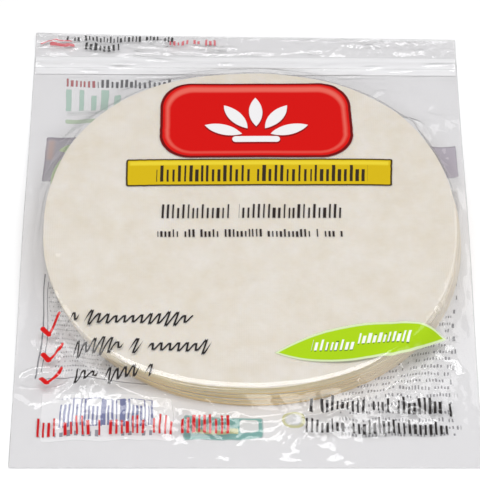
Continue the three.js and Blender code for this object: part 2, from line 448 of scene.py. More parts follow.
def drape(piece, flat):
    """Lets the film settle over the stack and the table, from the tent towards its flat size."""
    start = points_of(piece)
    place_points(piece, start * SIM_SCALE)
    piece.shape_key_add(name="Basis")
    flat_key = piece.shape_key_add(name="flat")
    flat_key.data.foreach_set("co", (flat * SIM_SCALE).ravel())
    flat_key.value = 0

    held = piece.vertex_groups.new(name="held")
    over_zip = np.abs(off_zip(start[:, 0], start[:, 1])) < ZIP_TAPE_HALF + 1 * MM
    held.add(np.flatnonzero(on_seam(flat) | over_zip).tolist(), 1.0, "REPLACE")

    bpy.ops.mesh.primitive_plane_add(size=0.6 * SIM_SCALE)
    table = new_piece("table_dummy")
    obstacles = [stack_dummy(), table]
    for obstacle in obstacles:
        obstacle.modifiers.new("Collision", "COLLISION")
        obstacle.collision.thickness_outer = 0.002
        obstacle.collision.cloth_friction = 0.5
        obstacle.collision.damping = 0.5

    cloth = piece.modifiers.new("Cloth", "CLOTH")
    settings = cloth.settings
    settings.quality = 6
    settings.mass = 0.02
    settings.tension_stiffness = settings.compression_stiffness = 60
    settings.shear_stiffness = 40
    settings.bending_stiffness = 5
    settings.tension_damping = settings.compression_damping = settings.shear_damping = 8
    settings.bending_damping = 0.5
    settings.air_damping = 2
    settings.vertex_group_mass = held.name
    settings.rest_shape_key = flat_key
    cloth.collision_settings.distance_min = FILM_GAP * SIM_SCALE
    cloth.collision_settings.collision_quality = 3
    scene = bpy.context.scene
    scene.gravity = (0, 0, -SIM_GRAVITY)
    cloth.point_cache.frame_start, cloth.point_cache.frame_end = 1, SIM_FRAMES
    for step in range(1, SIM_FRAMES + 1):
        scene.frame_set(step)

    settled = piece.evaluated_get(bpy.context.evaluated_depsgraph_get())
    points = points_of(settled)
    piece.modifiers.remove(cloth)
    pick_only(piece)
    bpy.ops.object.shape_key_remove(all=True)
    piece.vertex_groups.clear()
    place_points(piece, points / SIM_SCALE)
    scene.frame_set(1)
    pick_only(*obstacles)
    bpy.ops.object.delete()


# ---- the bag


def back_height(x, y):
    """Height of the back film: flat on the table, and up to the lifted seams beside the stack."""
    edge = ramp(BAG_WIDTH / 2 - np.abs(x), 0, 9)
    return 0.15 * MM + (seam_height(x, y) - 0.15 * MM) * (1 - edge) ** 1.6


def front_share(angle):
    """1 along the stack's front, 0 at its sides and its back."""
    return np.clip((-np.sin(angle) - 0.4) / 0.3, 0, 1)


def header_share(y):
    """1 behind the zip, 0 before it."""
    return ramp(y - ZIP_Y, 0, 8)


def slack_share(x, y):
    """1 in the loose film of the header and the margins, 0 over the stack, the zip and the seals."""
    _, outside, _ = stack_surface(x, y)
    across = off_zip(x, y)
    margin = ramp(outside, 6, 8) * (across < -10 * MM)
    front = 0.45 + 0.55 * ramp(-y, 60, 40) - 0.5 * ramp(-y, 108, 20)
    back = 0.5 * ramp(y, 60, 40)
    share = np.maximum(ramp(across, 6, 4), margin * np.maximum(front, back))
    return share * ramp(edge_distance(x, y), 0, 4)


def rim_bend(outside):
    """How far the film rises short of the front rim, and comes down where it bends over it."""
    lift = ramp(outside, -17, 12)
    past = np.clip(outside + 5 * MM, 0, 12 * MM)
    return RIM_LIFT * lift * lift * (3 - 2 * lift) - past**2 / (2 * RIM_BEND)


# Sharp pleats in the margins: where each starts and ends in plan (mm), height, half width.
PLEATS = (
    (-45, -102, -36, -122, 2.6, 1.8), (-23, -112, -15, -121, 1.8, 1.5), (8, -110, 22, -119, 2.0, 1.6),
    (22, -119, 15, -133, 1.4, 1.4), (26, -111, 34, -121, 1.6, 1.4), (30, -126, 22, -138, 1.2, 1.4),
    (36, -110, 38, -128, 2.0, 1.6), (38, -128, 46, -141, 1.2, 1.4), (46, -115, 54, -126, 1.4, 1.4),
    (-30, -118, -24, -132, 1.2, 1.4), (54, -97, 64, -119, 4.2, 2.2), (79, -90, 82, -112, 3.0, 1.9),
    (96, -54, 104, -71, 3.6, 2.3), (-88, -66, -99, -78, 2.2, 1.8), (-70, -86, -80, -104, 1.8, 1.6),
    (66, 91, 77, 104, 2.0, 1.8), (86, 80, 97, 74, 2.2, 1.6), (97, 74, 101, 64, 1.8, 1.5),
    (95, 88, 108, 82, 1.6, 1.5), (-16, -124, -4, -119, 1.6, 1.4), (-4, -119, 4, -128, 1.3, 1.4),
)
PLEAT_REACH = 7 * MM  # how far round a pleat the film is crumpled


def pleats(x, y):
    """Height of the pleats, and how near one is: 1 on it, 0 well away."""
    height, near = np.zeros_like(x), np.zeros_like(x)
    for *ends, rise, half_width in PLEATS:
        off, along = off_line(x, y, ends)
        fade = 1 - np.abs(2 * along - 1) ** 3
        height = np.maximum(height, rise * MM * fade * np.clip(1 - off / (half_width * MM), 0, 1))
        near = np.maximum(near, bell(off, 0, PLEAT_REACH))
    return height, near


def header_curl(x, y):
    """The header behind the zip curls up a little, more at its left."""
    behind = ramp(y - ZIP_Y, 7, 18)
    return (1.3 + 0.6 * np.sin(x / (31 * MM))) * MM * behind**1.7


def creases(x, y, size, seed):
    """Sharp-ridged creases about this far apart: 1 on a ridge, 0 in the hollows."""
    heights = np.empty(len(x))
    for index, (across, along) in enumerate(zip(x / size, y / size)):
        heights[index] = 1 - 2.2 * abs(noise_at((across, along, seed)))
    return np.clip(heights, 0, 1) ** 2


def crinkle_share(x, y):
    """How busy the film's finest creases are: most in the header, then by the pleats."""
    _, outside, angle = stack_surface(x, y)
    rim = 0.35 * bell(outside, 0, 3 * MM) + 1.6 * bell(outside, 17 * MM, 4 * MM)
    busy = 1.3 + 1.5 * pleats(x, y)[1] + 3.7 * header_share(y)
    return np.maximum(slack_share(x, y) * busy, front_share(angle) * rim)


def even_out(piece, chosen):
    """Takes the unevenness of the cloth's grid out of the heights of these points."""
    group = piece.vertex_groups.new(name="wall")
    group.add(chosen.tolist(), 1.0, "REPLACE")
    smooth = piece.modifiers.new("Smooth", "SMOOTH")
    smooth.use_x = smooth.use_y = False
    smooth.iterations = 6
    smooth.vertex_group = group.name
    apply_modifiers(piece)
    piece.vertex_groups.clear()


def on_front_film(piece):
    """Marks the points that belong to the front film alone."""
    front = np.ones(len(piece.data.vertices), dtype=bool)
    for face in piece.data.polygons:
        if face.material_index == 1:
            front[list(face.vertices)] = False
    return front


def pocket_ring(x, y):
    """The crease round the blown pocket."""
    reach = np.hypot((x + 102.5 * MM) / (14.5 * MM), (y + 97.5 * MM) / (8.5 * MM))
    return 3.0 * MM * bell(reach, 0.95, 0.12)


def foot_crease(x, y, outside, angle):
    """The jagged crease where the film comes down in front of the stack."""
    line = bell(outside - 14 * MM, 1.2 * MM * np.sin(angle * 19), 1.8 * MM)
    return 1.5 * MM * front_share(angle) * line * creases(x, y, 9 * MM, 7.7)


def crumple(piece):
    """Evens the film over the top sheet, bends it over the front rim and creases what is slack."""
    points = points_of(piece)
    front = on_front_film(piece)
    x, y, z = points[front].T
    top, outside, angle = stack_surface(x, y)
    at_front = front_share(angle)
    covered = np.maximum(ease(ramp(-outside, 3, 9)), at_front * ramp(-outside, -8, 4))
    points[front, 2] = z + (top + FILM_GAP + rim_bend(outside) * at_front - z) * covered
    place_points(piece, points)
    wall = (at_front > 0.2) & (outside > 2 * MM) & (outside < 18 * MM)
    even_out(piece, np.flatnonzero(front)[wall])
    points = points_of(piece)
    pleat, near = pleats(x, y)
    header = header_share(y)
    foot = ramp(-y, 112, 25)
    relief = 0.9 * MM * creases(x, y, 12 * MM, 3.7) + 0.8 * MM * creases(x, y, 6 * MM, 9.1)
    strip = 1.2 * MM * creases(x, y, 11 * MM, 5.3) + 0.8 * MM * creases(x, y, 5.5 * MM, 1.9)
    busy = (0.45 + 1.1 * near) * (1 - header) * (1 - 0.5 * foot)
    loose = relief * busy + strip * header + pocket_ring(x, y)
    z = 0.2 * MM + (points[front, 2] - 0.2 * MM) * (1 - 0.45 * foot * (outside > 2 * MM))
    z = z + slack_share(x, y) * loose + pleat * (1 - covered)
    points[front, 2] = z + foot_crease(x, y, outside, angle)
    points[:, 2] += header_curl(points[:, 0], points[:, 1])
    place_points(piece, points)
    layer = piece.data.attributes.new("slack", "FLOAT", "POINT")
    layer.data.foreach_set("value", crinkle_share(points[:, 0], points[:, 1]))


def make_bag():
    points, flat = film_layout()
    places = print_places(points, flat)
    front = film_grid("bag_film", points, places)
    drape(front, flat)

    back_points = points_of(front)
    back_points[:, 2] = back_height(points[:, 0], points[:, 1])
    rim = on_seam(flat)
    back_points[:, :2] = np.where(rim[:, None], points_of(front)[:, :2], points[:, :2])
    back_points[rim, 2] = points_of(front)[rim, 2]
    back = film_grid("bag_back", back_points, places)
    pick_only(back)
    bpy.ops.object.mode_set(mode="EDIT")
    bpy.ops.mesh.select_all(action="SELECT")
    bpy.ops.mesh.flip_normals()
    bpy.ops.object.mode_set(mode="OBJECT")
    front.data.materials.append(bpy.data.materials.new("printed_front_film"))
    back.data.materials.append(bpy.data.materials.new("printed_back_film"))

    pick_only(front, back)
    bpy.ops.object.join()
    bpy.ops.object.mode_set(mode="EDIT")
    bpy.ops.mesh.select_all(action="SELECT")
    bpy.ops.mesh.remove_doubles(threshold=0.01 * MM)
    bpy.ops.object.mode_set(mode="OBJECT")
    smooth = front.modifiers.new("Subdivision", "SUBSURF")
    smooth.levels = smooth.render_levels = 1
    smooth.uv_smooth = "NONE"
    apply_modifiers(front)
    crumple(front)
    bpy.ops.object.shade_smooth()
    return front


bag_film = make_bag()

# ---- the rice paper sheets

SHEET_SIDES = 150
SHEET_INSETS = (0.015, 0.06, 0.1, 0.15, 0.2, 0.25)  # rings on both faces, as shares of the radius
SHEETS_PER_BUNDLE = 3  # sheets that were stacked together lie flush


def make_sheet(index, random, shift, tone):
    """One dried sheet: a thin round plate with a slightly uneven rim, waved like its neighbours."""
    bpy.ops.mesh.primitive_circle_add(vertices=SHEET_SIDES, radius=1, fill_type="NGON")
    sheet = new_piece("rice_sheet")
    bpy.ops.object.mode_set(mode="EDIT")
    bpy.ops.mesh.select_all(action="SELECT")
    bpy.ops.mesh.extrude_region_move(TRANSFORM_OT_translate={"value": (0, 0, 1)})
    bpy.ops.mesh.normals_make_consistent(inside=False)
    bpy.ops.object.mode_set(mode="OBJECT")
    ring_caps(SHEET_INSETS)

    level = index / (SHEET_COUNT - 1)
    points = points_of(sheet)
    angle = np.arctan2(points[:, 1], points[:, 0])
    reach = np.hypot(points[:, 0], points[:, 1])
    rim = rim_radius(angle, level) + random.uniform(-0.2, 0.1) * MM
    for waves in (3, 5, 9, 17):
        phase = random.uniform(0, 2 * math.pi)
        rim += random.uniform(0.04, 0.16) * MM * np.sin(waves * angle + phase)
    middle = np.array(stack_middle(level)) + shift + random.uniform(-0.15, 0.15, 2) * MM
    base = index * SHEET_PITCH + sheet_rise(angle, reach) * level**1.5
    points[:, 2] = base + points[:, 2] * SHEET_THICKNESS
    points[:, 0] = middle[0] + reach * rim * np.cos(angle)
    points[:, 1] = middle[1] + reach * rim * np.sin(angle)
    place_points(sheet, points)
    upright = [float(abs(face.normal.z) < 0.6) for face in sheet.data.polygons]
    for name, values in (("rim", upright), ("tone", [tone] * len(upright))):
        layer = sheet.data.attributes.new(name, "FLOAT", "FACE")
        layer.data.foreach_set("value", values)
    return sheet


def make_sheets():
    random = np.random.default_rng(22)
    sheets = []
    for index in range(SHEET_COUNT):
        if index % SHEETS_PER_BUNDLE == 0:
            shift, tone = random.uniform(-0.3, 0.3, 2) * MM, random.uniform(0, 1)
        sheets.append(make_sheet(index, random, shift, tone))
    pick_only(sheets[-1], *sheets[:-1])
    bpy.ops.object.join()
    stack = bpy.context.object
    stack.name = stack.data.name = "rice_paper_sheets"
    bpy.ops.object.shade_smooth_by_angle(angle=math.radians(35))
    return stack


rice_sheets = make_sheets()

# ---- the zip


def make_zip():
    """One round track across the bag between two guide ribs, on a tape."""
    bars = []
    for offset, width, rise in (ZIP_TAPE, *ZIP_RIBS):
        bpy.ops.mesh.primitive_cube_add(size=1, location=(0, ZIP_Y + offset, ZIP_FLOOR + rise / 2))
        bar = new_piece("zip_track")
        bar.scale = (BAG_WIDTH - 3 * MM, width, rise)
        settle(bar)
        bevel = bar.modifiers.new("Bevel", "BEVEL")
        bevel.width = 0.45 * min(width, rise)
        bevel.segments = 3
        apply_modifiers(bar)
        bars.append(bar)
    pick_only(*bars)
    bpy.ops.object.join()
    track = bpy.context.object
    points = points_of(track)
    points[:, 1] += ZIP_SLOPE * points[:, 0]
    place_points(track, points)
    bpy.ops.object.shade_smooth_by_angle(angle=math.radians(40))
    return track


zip_track = make_zip()

# ---- building node trees


def add_node(tree, kind, inputs=(), **settings):
    """A shader node; inputs pairs its sockets with values or with the outputs that feed them."""
    made = tree.nodes.new("ShaderNode" + kind)
    for setting, value in settings.items():
        setattr(made, setting, value)
    for key, value in dict(inputs).items():
        if isinstance(value, bpy.types.NodeSocket):
            tree.links.new(value, made.inputs[key])
        else:
            made.inputs[key].default_value = value
    return made


def tree_of(values):
    """The node tree of the first of these values that is a node's output."""
    return next(value.id_data for value in values if isinstance(value, bpy.types.NodeSocket))


def maths(operation, *values, clamp=False):
    inputs = enumerate(values)
    return add_node(tree_of(values), "Math", inputs, operation=operation, use_clamp=clamp).outputs[0]


def times(*values):
    return maths("MULTIPLY", *values)


def minus(*values, clamp=False):
    return maths("SUBTRACT", *values, clamp=clamp)


def times_plus(*values, clamp=False):
    """The first value times the second, plus the third."""
    return maths("MULTIPLY_ADD", *values, clamp=clamp)


def vectors(operation, *values):
    node = add_node(tree_of(values), "VectorMath", enumerate(values), operation=operation)
    return node.outputs["Value" if operation in ("LENGTH", "DOT_PRODUCT") else "Vector"]


def parts_of(vector):
    return add_node(vector.id_data, "SeparateXYZ", {0: vector}).outputs


def scaled(vector, factor):
    node = add_node(vector.id_data, "VectorMath", {0: vector, "Scale": factor}, operation="SCALE")
    return node.outputs["Vector"]


def blend_colours(factor, below, above):
    node = add_node(factor.id_data, "Mix", {0: factor, 6: below, 7: above}, data_type="RGBA")
    return node.outputs[2]


def noise(place, scale, detail=2.0, roughness=0.5, kind="FBM"):
    inputs = {"Vector": place, "Scale": scale, "Detail": detail, "Roughness": roughness}
    return add_node(place.id_data, "TexNoise", inputs, noise_type=kind).outputs["Fac"]


def white_noise(cell):
    """Random outputs that are the same all over a whole cell."""
    return add_node(cell.id_data, "TexWhiteNoise", {"Vector": cell}, noise_dimensions="2D").outputs


def start_group(name, vector_names, number_names, output="Mask"):
    """An empty shader group with these inputs besides Place: its tree, its inputs and its output."""
    tree = bpy.data.node_groups.new(name, "ShaderNodeTree")
    for kind, names in (("Vector", ("Place", *vector_names)), ("Float", number_names)):
        for socket_name in names:
            tree.interface.new_socket(socket_name, in_out="INPUT", socket_type="NodeSocket" + kind)
    tree.interface.new_socket(output, in_out="OUTPUT", socket_type="NodeSocketFloat")
    entry = tree.nodes.new("NodeGroupInput").outputs
    return tree, entry, tree.nodes.new("NodeGroupOutput").inputs[0]


def use_group(group, inputs):
    """The outputs of a node that runs this group."""
    return add_node(tree_of(inputs.values()), "Group", inputs, node_tree=group).outputs


def start_material(name):
    """A new material with an empty tree, and its output node."""
    material = bpy.data.materials.get(name) or bpy.data.materials.new(name)
    material.use_nodes = True
    material.node_tree.nodes.clear()
    return material, material.node_tree, add_node(material.node_tree, "OutputMaterial")


# ---- printed shapes

# Each group turns a place on the flat film, in millimetres, into the mask of one printed shape.
PRINT_EDGE = 0.15  # mm over which the edge of the ink fades
PEN_HALF_WIDTH = 0.62  # mm
PEN_GAPS = 0.14  # the share of the handwriting's waves that are left out


def inked(depth):
    """Mask of what lies deeper than 0 mm inside a shape."""
    return times_plus(depth, 0.5 / PRINT_EDGE, 0.5, clamp=True)


def build_bar_group():
    """A rounded bar; Half Size leaves out its corners' radius, and Edge is how far it fades."""
    tree, entry, result = start_group("printed bar", ("Centre", "Half Size"), ("Corner", "Edge"))
    off = vectors("ABSOLUTE", vectors("SUBTRACT", entry["Place"], entry["Centre"]))
    beyond = vectors("SUBTRACT", off, entry["Half Size"])
    beyond = vectors("MAXIMUM", beyond, (0, 0, 0))
    depth = minus(entry["Corner"], vectors("LENGTH", beyond))
    fade = maths("DIVIDE", 0.5, entry["Edge"])
    tree.links.new(times_plus(depth, fade, 0.5, clamp=True), result)
    return tree


def build_stroke_group():
    """A round-ended stroke from Start over Run."""
    tree, entry, result = start_group("printed stroke", ("Start", "Run"), ("Half Width",))
    off = vectors("SUBTRACT", entry["Place"], entry["Start"])
    along = vectors("DOT_PRODUCT", off, entry["Run"])
    square = vectors("DOT_PRODUCT", entry["Run"], entry["Run"])
    share = maths("DIVIDE", along, square, clamp=True)
    near = vectors("SUBTRACT", off, scaled(entry["Run"], share))
    depth = minus(entry["Half Width"], vectors("LENGTH", near))
    tree.links.new(inked(depth), result)
    return tree


def build_leaf_group():
    """A pointed leaf: where two discs of Radius overlap, each pushed Offset to its own side."""
    tree, entry, result = start_group("printed leaf", ("Centre", "Offset"), ("Turn", "Radius"))
    inputs = {"Vector": entry["Place"], "Center": entry["Centre"], "Angle": entry["Turn"]}
    turned = add_node(tree, "VectorRotate", inputs, rotation_type="Z_AXIS").outputs[0]
    off = vectors("ABSOLUTE", vectors("SUBTRACT", turned, entry["Centre"]))
    reach = vectors("LENGTH", vectors("ADD", off, entry["Offset"]))
    tree.links.new(inked(minus(entry["Radius"], reach)), result)
    return tree


def leaning_field(tree, entry, bar_group):
    """The place as seen from Centre and leant by Lean, its two parts, and the mask of the field."""
    off = vectors("SUBTRACT", entry["Place"], entry["Centre"])
    along, up = parts_of(off)[:2]
    along = minus(along, times(up, entry["Lean"]))
    leaning = add_node(tree, "CombineXYZ", {0: along, 1: up}).outputs[0]
    inputs = {"Place": leaning, "Half Size": entry["Half Size"], "Corner": 0.5, "Edge": PRINT_EDGE}
    return leaning, along, up, use_group(bar_group, inputs)["Mask"]


def build_dashes_group(bar_group):
    """Rows of upright dashes of random width: as dense as small print, with nothing to read."""
    names = ("Centre", "Half Size", "Pitch"), ("Lean", "Gaps", "Height")
    tree, entry, result = start_group("printed dashes", *names)
    leaning, _, _, field = leaning_field(tree, entry, bar_group)
    cells = vectors("ADD", vectors("DIVIDE", leaning, entry["Pitch"]), (0, 0.5, 0))
    row = vectors("MULTIPLY", vectors("FLOOR", cells), (0, 1, 0))
    shift = add_node(tree, "CombineXYZ", {0: white_noise(row)["Value"]}).outputs[0]
    cells = vectors("ADD", cells, shift)
    random = white_noise(vectors("ADD", vectors("FLOOR", cells), entry["Centre"]))
    split = add_node(tree, "SeparateColor", {0: random["Color"]}).outputs
    inside = vectors("SUBTRACT", vectors("FRACTION", cells), (0.5, 0.5, 0))
    inside = parts_of(inside)
    pitch = parts_of(entry["Pitch"])

    # A dash's half width, its top, at one of two heights, and its foot, as shares of its cell.
    half = times_plus(split[0], 0.17, 0.16)
    width = minus(half, maths("ABSOLUTE", inside[0]))
    width = inked(times(width, pitch[0]))
    tall = times_plus(maths("GREATER_THAN", split[1], 0.6), 0.2, 0.2)
    tall = times(tall, entry["Height"])
    deep = times(entry["Height"], 0.38)
    top = inked(times(minus(tall, inside[1]), pitch[1]))
    foot = inked(times(maths("ADD", inside[1], deep), pitch[1]))
    kept = maths("GREATER_THAN", random["Value"], entry["Gaps"])
    mask = times(times(width, top), foot)
    mask = times(times(mask, kept), field)
    tree.links.new(mask, result)
    return tree


def build_scribble_group(bar_group):
    """A leaning pen wave with gaps, as light as a line of handwriting, with nothing to read."""
    tree, entry, result = start_group("printed scribble", ("Centre", "Half Size"), ("Pitch", "Lean"))
    _, along, up, field = leaning_field(tree, entry, bar_group)
    turns = maths("DIVIDE", along, entry["Pitch"])
    cell = add_node(tree, "CombineXYZ", {0: maths("FLOOR", turns)}).outputs[0]
    random = white_noise(vectors("ADD", cell, entry["Centre"]))["Value"]
    size = parts_of(entry["Half Size"])[1]
    tall = maths("POWER", random, 2.5)
    swing = times(size, times_plus(tall, 0.65, 0.35))
    angle = times(turns, 2 * math.pi)
    pen = times(swing, maths("SINE", angle))
    slope = maths("DIVIDE", swing, entry["Pitch"])
    slope = times(times(slope, maths("COSINE", angle)), 2 * math.pi)
    steepness = maths("SQRT", times_plus(slope, slope, 1.0))
    gap = maths("ABSOLUTE", minus(up, pen))
    depth = minus(PEN_HALF_WIDTH, maths("DIVIDE", gap, steepness))
    kept = maths("GREATER_THAN", random, PEN_GAPS)
    mask = times(times(inked(depth), kept), field)
    tree.links.new(mask, result)
    return tree


bar_group = build_bar_group()
stroke_group = build_stroke_group()
leaf_group = build_leaf_group()
dashes_group = build_dashes_group(bar_group)
scribble_group = build_scribble_group(bar_group)


def bar(x, y, half_width, half_height, corner=0.3, edge=PRINT_EDGE):
    size = (half_width - corner, half_height - corner, 9)
    return bar_group, {"Centre": (x, y, 0), "Half Size": size, "Corner": corner, "Edge": edge}


def stroke(x, y, to_x, to_y, half_width):
    return stroke_group, {"Start": (x, y, 0), "Run": (to_x - x, to_y - y, 0), "Half Width": half_width}


def leaf(x, y, turn, half_length, half_width):
    radius = (half_length**2 + half_width**2) / (2 * half_width)
    turn = math.radians(-turn)
    offset = (0, radius - half_width, 0)
    return leaf_group, {"Centre": (x, y, 0), "Turn": turn, "Radius": radius, "Offset": offset}


def dashes(x, y, half_width, half_height, pitch, line=None, lean=0.0, gaps=0.0, height=1.0):
    step = (pitch, line or 2 * half_height, 1)
    return dashes_group, {
        "Centre": (x, y, 0), "Half Size": (half_width, half_height, 9), "Pitch": step,
        "Lean": lean, "Gaps": gaps, "Height": height,
    }


def scribble(x, y, half_width, half_height, pitch, lean):
    return scribble_group, {
        "Centre": (x, y, 0), "Half Size": (half_width, half_height, 9), "Pitch": pitch, "Lean": lean,
    }


GRAIN_TURNS = (18, 54, 90, 126, 162)  # the grains that fan out in the red panel


def grain(turn, shift, half_length, half_width):
    """One grain of the fan, shifted down by its shadow."""
    along = math.radians(turn)
    x, y = 5 + 18.5 * math.cos(along), 58.5 + 18.5 * math.sin(along) - shift
    return leaf(x, y, turn, half_length, half_width)


# Each film's print is kept in a few fields (low x, high x, low y, high y), so that a patch of film
# carries only the shapes that lie on it: the film's name, its fields and its layers of ink, each
# with its colour, how much it covers and its shapes, in the flat film's millimetres. One back layer is a
# painted soft shadow rather than ink.
FRONT_PRINT = (
    ("film_header_and_dark_lines", [(-122, -12, 136, 155), (-48, 55, -14, 14)], (
        ((0.02, 0.012, 0.010), 0.97, [
            dashes(-26.4, 6, 17.8, 6.2, 2.7), dashes(24, 6, 26.4, 6.2, 2.7),
            dashes(3, -9, 48, 3.4, 2.1, gaps=0.12),
        ]),
        ((0.03, 0.03, 0.03), 0.95, [
            dashes(-73, 149, 31, 2.7, 2.1, gaps=0.1), dashes(-83, 143, 10, 3.4, 2.8),
        ]),
        ((0.62, 0.10, 0.12), 0.8, [
            dashes(-31, 146, 13.5, 2.7, 2.4, gaps=0.16),
            bar(-109, 146.6, 9, 0.5), bar(-105.5, 143.6, 7, 1.2, 0.6),
        ]),
    )),
    ("film_red_panel_and_yellow_band", [(-66, 80, 20, 102)], (
        ((0.05, 0.03, 0.004), 1.0, [bar(7, 33.5, 70, 9.6, 1.2)]),
        ((0.60, 0.42, 0.004), 1.0, [bar(7, 33.5, 69, 8.6, 0.6)]),
        ((0.74, 0.58, 0.03), 1.0, [bar(7, 40.0, 68, 1.3, 0.6, edge=0.6)]),
        ((0.03, 0.02, 0.012), 1.0, [
            dashes(-22, 32.5, 24.4, 7.4, 3.1), dashes(35, 32.5, 28.6, 7.4, 3.1),
        ]),
        ((0.14, 0.002, 0.002), 1.0, [bar(5, 71, 51.5, 27.2, 17)]),
        ((0.62, 0.004, 0.002), 1.0, [bar(5, 71.2, 50, 25.8, 16)]),
        ((0.72, 0.12, 0.09), 1.0, [bar(5, 71.4, 48.3, 24.1, 15, edge=0.9)]),
        ((0.60, 0.002, 0.001), 1.0, [bar(5, 70.0, 46.6, 21.9, 13.5, edge=0.9)]),
        ((0.25, 0.002, 0.002), 1.0, [
            *(grain(turn, 1.0, 10.8, 3.9) for turn in GRAIN_TURNS), bar(5, 56.3, 13, 2.5, 2.4),
        ]),
        ((0.78, 0.77, 0.78), 1.0, [
            *(grain(turn, 0, 10.5, 3.6) for turn in GRAIN_TURNS), bar(5, 57.2, 12.6, 2.1, 2.0),
        ]),
    )),
    ("film_ticked_list", [(-110, -15, -110, -56)], (
        ((0.60, 0.006, 0.006), 1.0, [
            stroke(-106.8, -67.0, -103.8, -71.6, 1.5), stroke(-103.8, -71.6, -96.6, -62.4, 0.9),
            stroke(-106.5, -83.2, -103.4, -87.6, 1.5), stroke(-103.4, -87.6, -96.2, -78.6, 0.9),
            stroke(-106.5, -99.6, -103.4, -103.8, 1.5), stroke(-103.4, -103.8, -96.2, -95.6, 0.9),
        ]),
        ((0.012, 0.010, 0.010), 0.97, [
            scribble(-59.5, -66.3, 31.5, 5.0, 4.4, 0.45),
            scribble(-54, -84.4, 35, 5.0, 4.4, 0.45),
            scribble(-68.5, -100.5, 20.5, 5.0, 4.4, 0.45),
        ]),
    )),
    ("film_leaf_and_foot_lines", [(10, 108, -101, -66), (-110, -5, -138, -120), (27, 110, -138, -109)], (
        ((0.66, 0.78, 0.45), 0.9, [leaf(59.5, -82, 8, 45.5, 12.4)]),
        ((0.37, 0.59, 0.006), 1.0, [leaf(59.5, -82, 8, 43.5, 10.9)]),
        ((0.10, 0.20, 0.01), 1.0, [
            dashes(44, -84.2, 10, 4.4, 2.7, lean=0.2), dashes(71, -80.4, 13.4, 4.4, 2.7, lean=0.2),
        ]),
        ((0.84, 0.86, 0.82), 1.0, [
            dashes(44, -83.4, 10, 4.4, 2.7, lean=0.2), dashes(71, -79.6, 13.4, 4.4, 2.7, lean=0.2),
        ]),
        ((0.50, 0.004, 0.008), 1.0, [dashes(-57.8, -129.4, 49.6, 6.4, 2.9, gaps=0.12)]),
        ((0.015, 0.012, 0.012), 1.0, [
            dashes(69, -117.8, 37, 5.6, 2.7, gaps=0.15), dashes(69, -130.2, 38, 5.2, 2.7, gaps=0.15),
        ]),
    )),
)
BACK_PRINT = (
    ("back_film_panels", [(-116, -36, 34, 124), (88, 119, 8, 68)], (
        ((0.47, 0.66, 0.56), 0.75, [dashes(-85, 102.8, 17.5, 10.4, 7.4)]),
        # A soft grey bar along the teal panel's foot: a painted soft shadow.
        ((0.58, 0.60, 0.58), 0.4, [bar(-84, 93.5, 17, 1.2, 0.8, edge=1.2)]),
        ((0.52, 0.66, 0.45), 0.6, [bar(-88, 87, 14, 1.6, 1.2)]),
        ((0.26, 0.22, 0.27), 0.6, [bar(-96, 58, 16, 16.5, 1)]),
        ((0.45, 0.42, 0.47), 0.6, [bar(-96, 57, 14.9, 15.4, 0.5, edge=1.0)]),
        ((0.47, 0.60, 0.32), 0.8, [leaf(-103, 48, 80, 10, 2.6), leaf(-97, 66, 10, 7, 3)]),
        ((0.55, 0.36, 0.30), 0.7, [bar(-109, 65, 1.6, 7, 1, edge=1.5)]),
        ((0.22, 0.18, 0.24), 0.65, [bar(104, 55.6, 13.5, 12.2, 0.6)]),
        ((0.60, 0.54, 0.63), 0.8, [bar(104, 55.2, 13.0, 11.6, 0.4, edge=1.0)]),
        ((0.42, 0.38, 0.38), 0.6, [bar(112, 26, 3, 7, 0.5, edge=2.0)]),
        ((0.45, 0.08, 0.09), 0.75, [dashes(-93.5, 116.4, 8.5, 4.4, 2.6)]),
        ((0.07, 0.07, 0.08), 0.8, [dashes(-62, 115.8, 22, 4.0, 2.8, gaps=0.1)]),
    )),
    ("back_film_small_print", [(-114, -40, -100, -22), (46, 113, -136, -26)], (
        ((0.16, 0.16, 0.18), 0.7, [
            stroke(-103.9, -25, -110.3, -96, 0.45), stroke(-101.4, -30, -107.4, -92, 0.25),
            bar(-72, -97.3, 34, 0.35, 0.1),
        ]),
        ((0.20, 0.20, 0.22), 0.5, [dashes(-78, -63, 23, 31, 1.5, line=3.2, gaps=0.16, height=0.5)]),
        ((0.12, 0.12, 0.14), 0.55, [
            dashes(78, -94, 29, 40, 1.7, line=4.9, gaps=0.2, height=0.6),
            dashes(109, -80, 1.2, 50, 2.4, line=9.6, gaps=0.16, height=0.5),
        ]),
    )),
    ("back_film_white_and_teal_panels", [(-110, 36, -140, -106)], (
        ((0.92, 0.92, 0.93), 0.9, [bar(-72, -122, 34, 15.2, 1)]),
        ((0.14, 0.16, 0.36), 0.75, [
            dashes(-72.5, -119.5, 24, 8.8, 2.1, line=17.6, gaps=0.05, height=1.4),
            dashes(-72.5, -119.5, 24, 8.8, 5.3, line=17.6, gaps=0.6, height=1.4),
        ]),
        ((0.28, 0.28, 0.33), 0.7, [dashes(-73, -132.6, 25, 2.4, 3.6, gaps=0.16)]),
        ((0.13, 0.42, 0.38), 0.75, [bar(-12, -129.5, 20.5, 7.4, 1.5, edge=0.6)]),
        ((0.60, 0.62, 0.25), 0.7, [bar(-16, -131.4, 12, 1.4, 0.5)]),
        ((0.80, 0.82, 0.82), 0.8, [bar(1.5, -128, 4.8, 4.4, 2)]),
        ((0.62, 0.62, 0.22), 0.6, [bar(24.6, -123.6, 6.2, 6.6, 6.1)]),
        ((0.74, 0.76, 0.78), 0.8, [bar(24.6, -123.6, 4.4, 4.8, 4.3, edge=0.8)]),
    )),
)


# ---- film

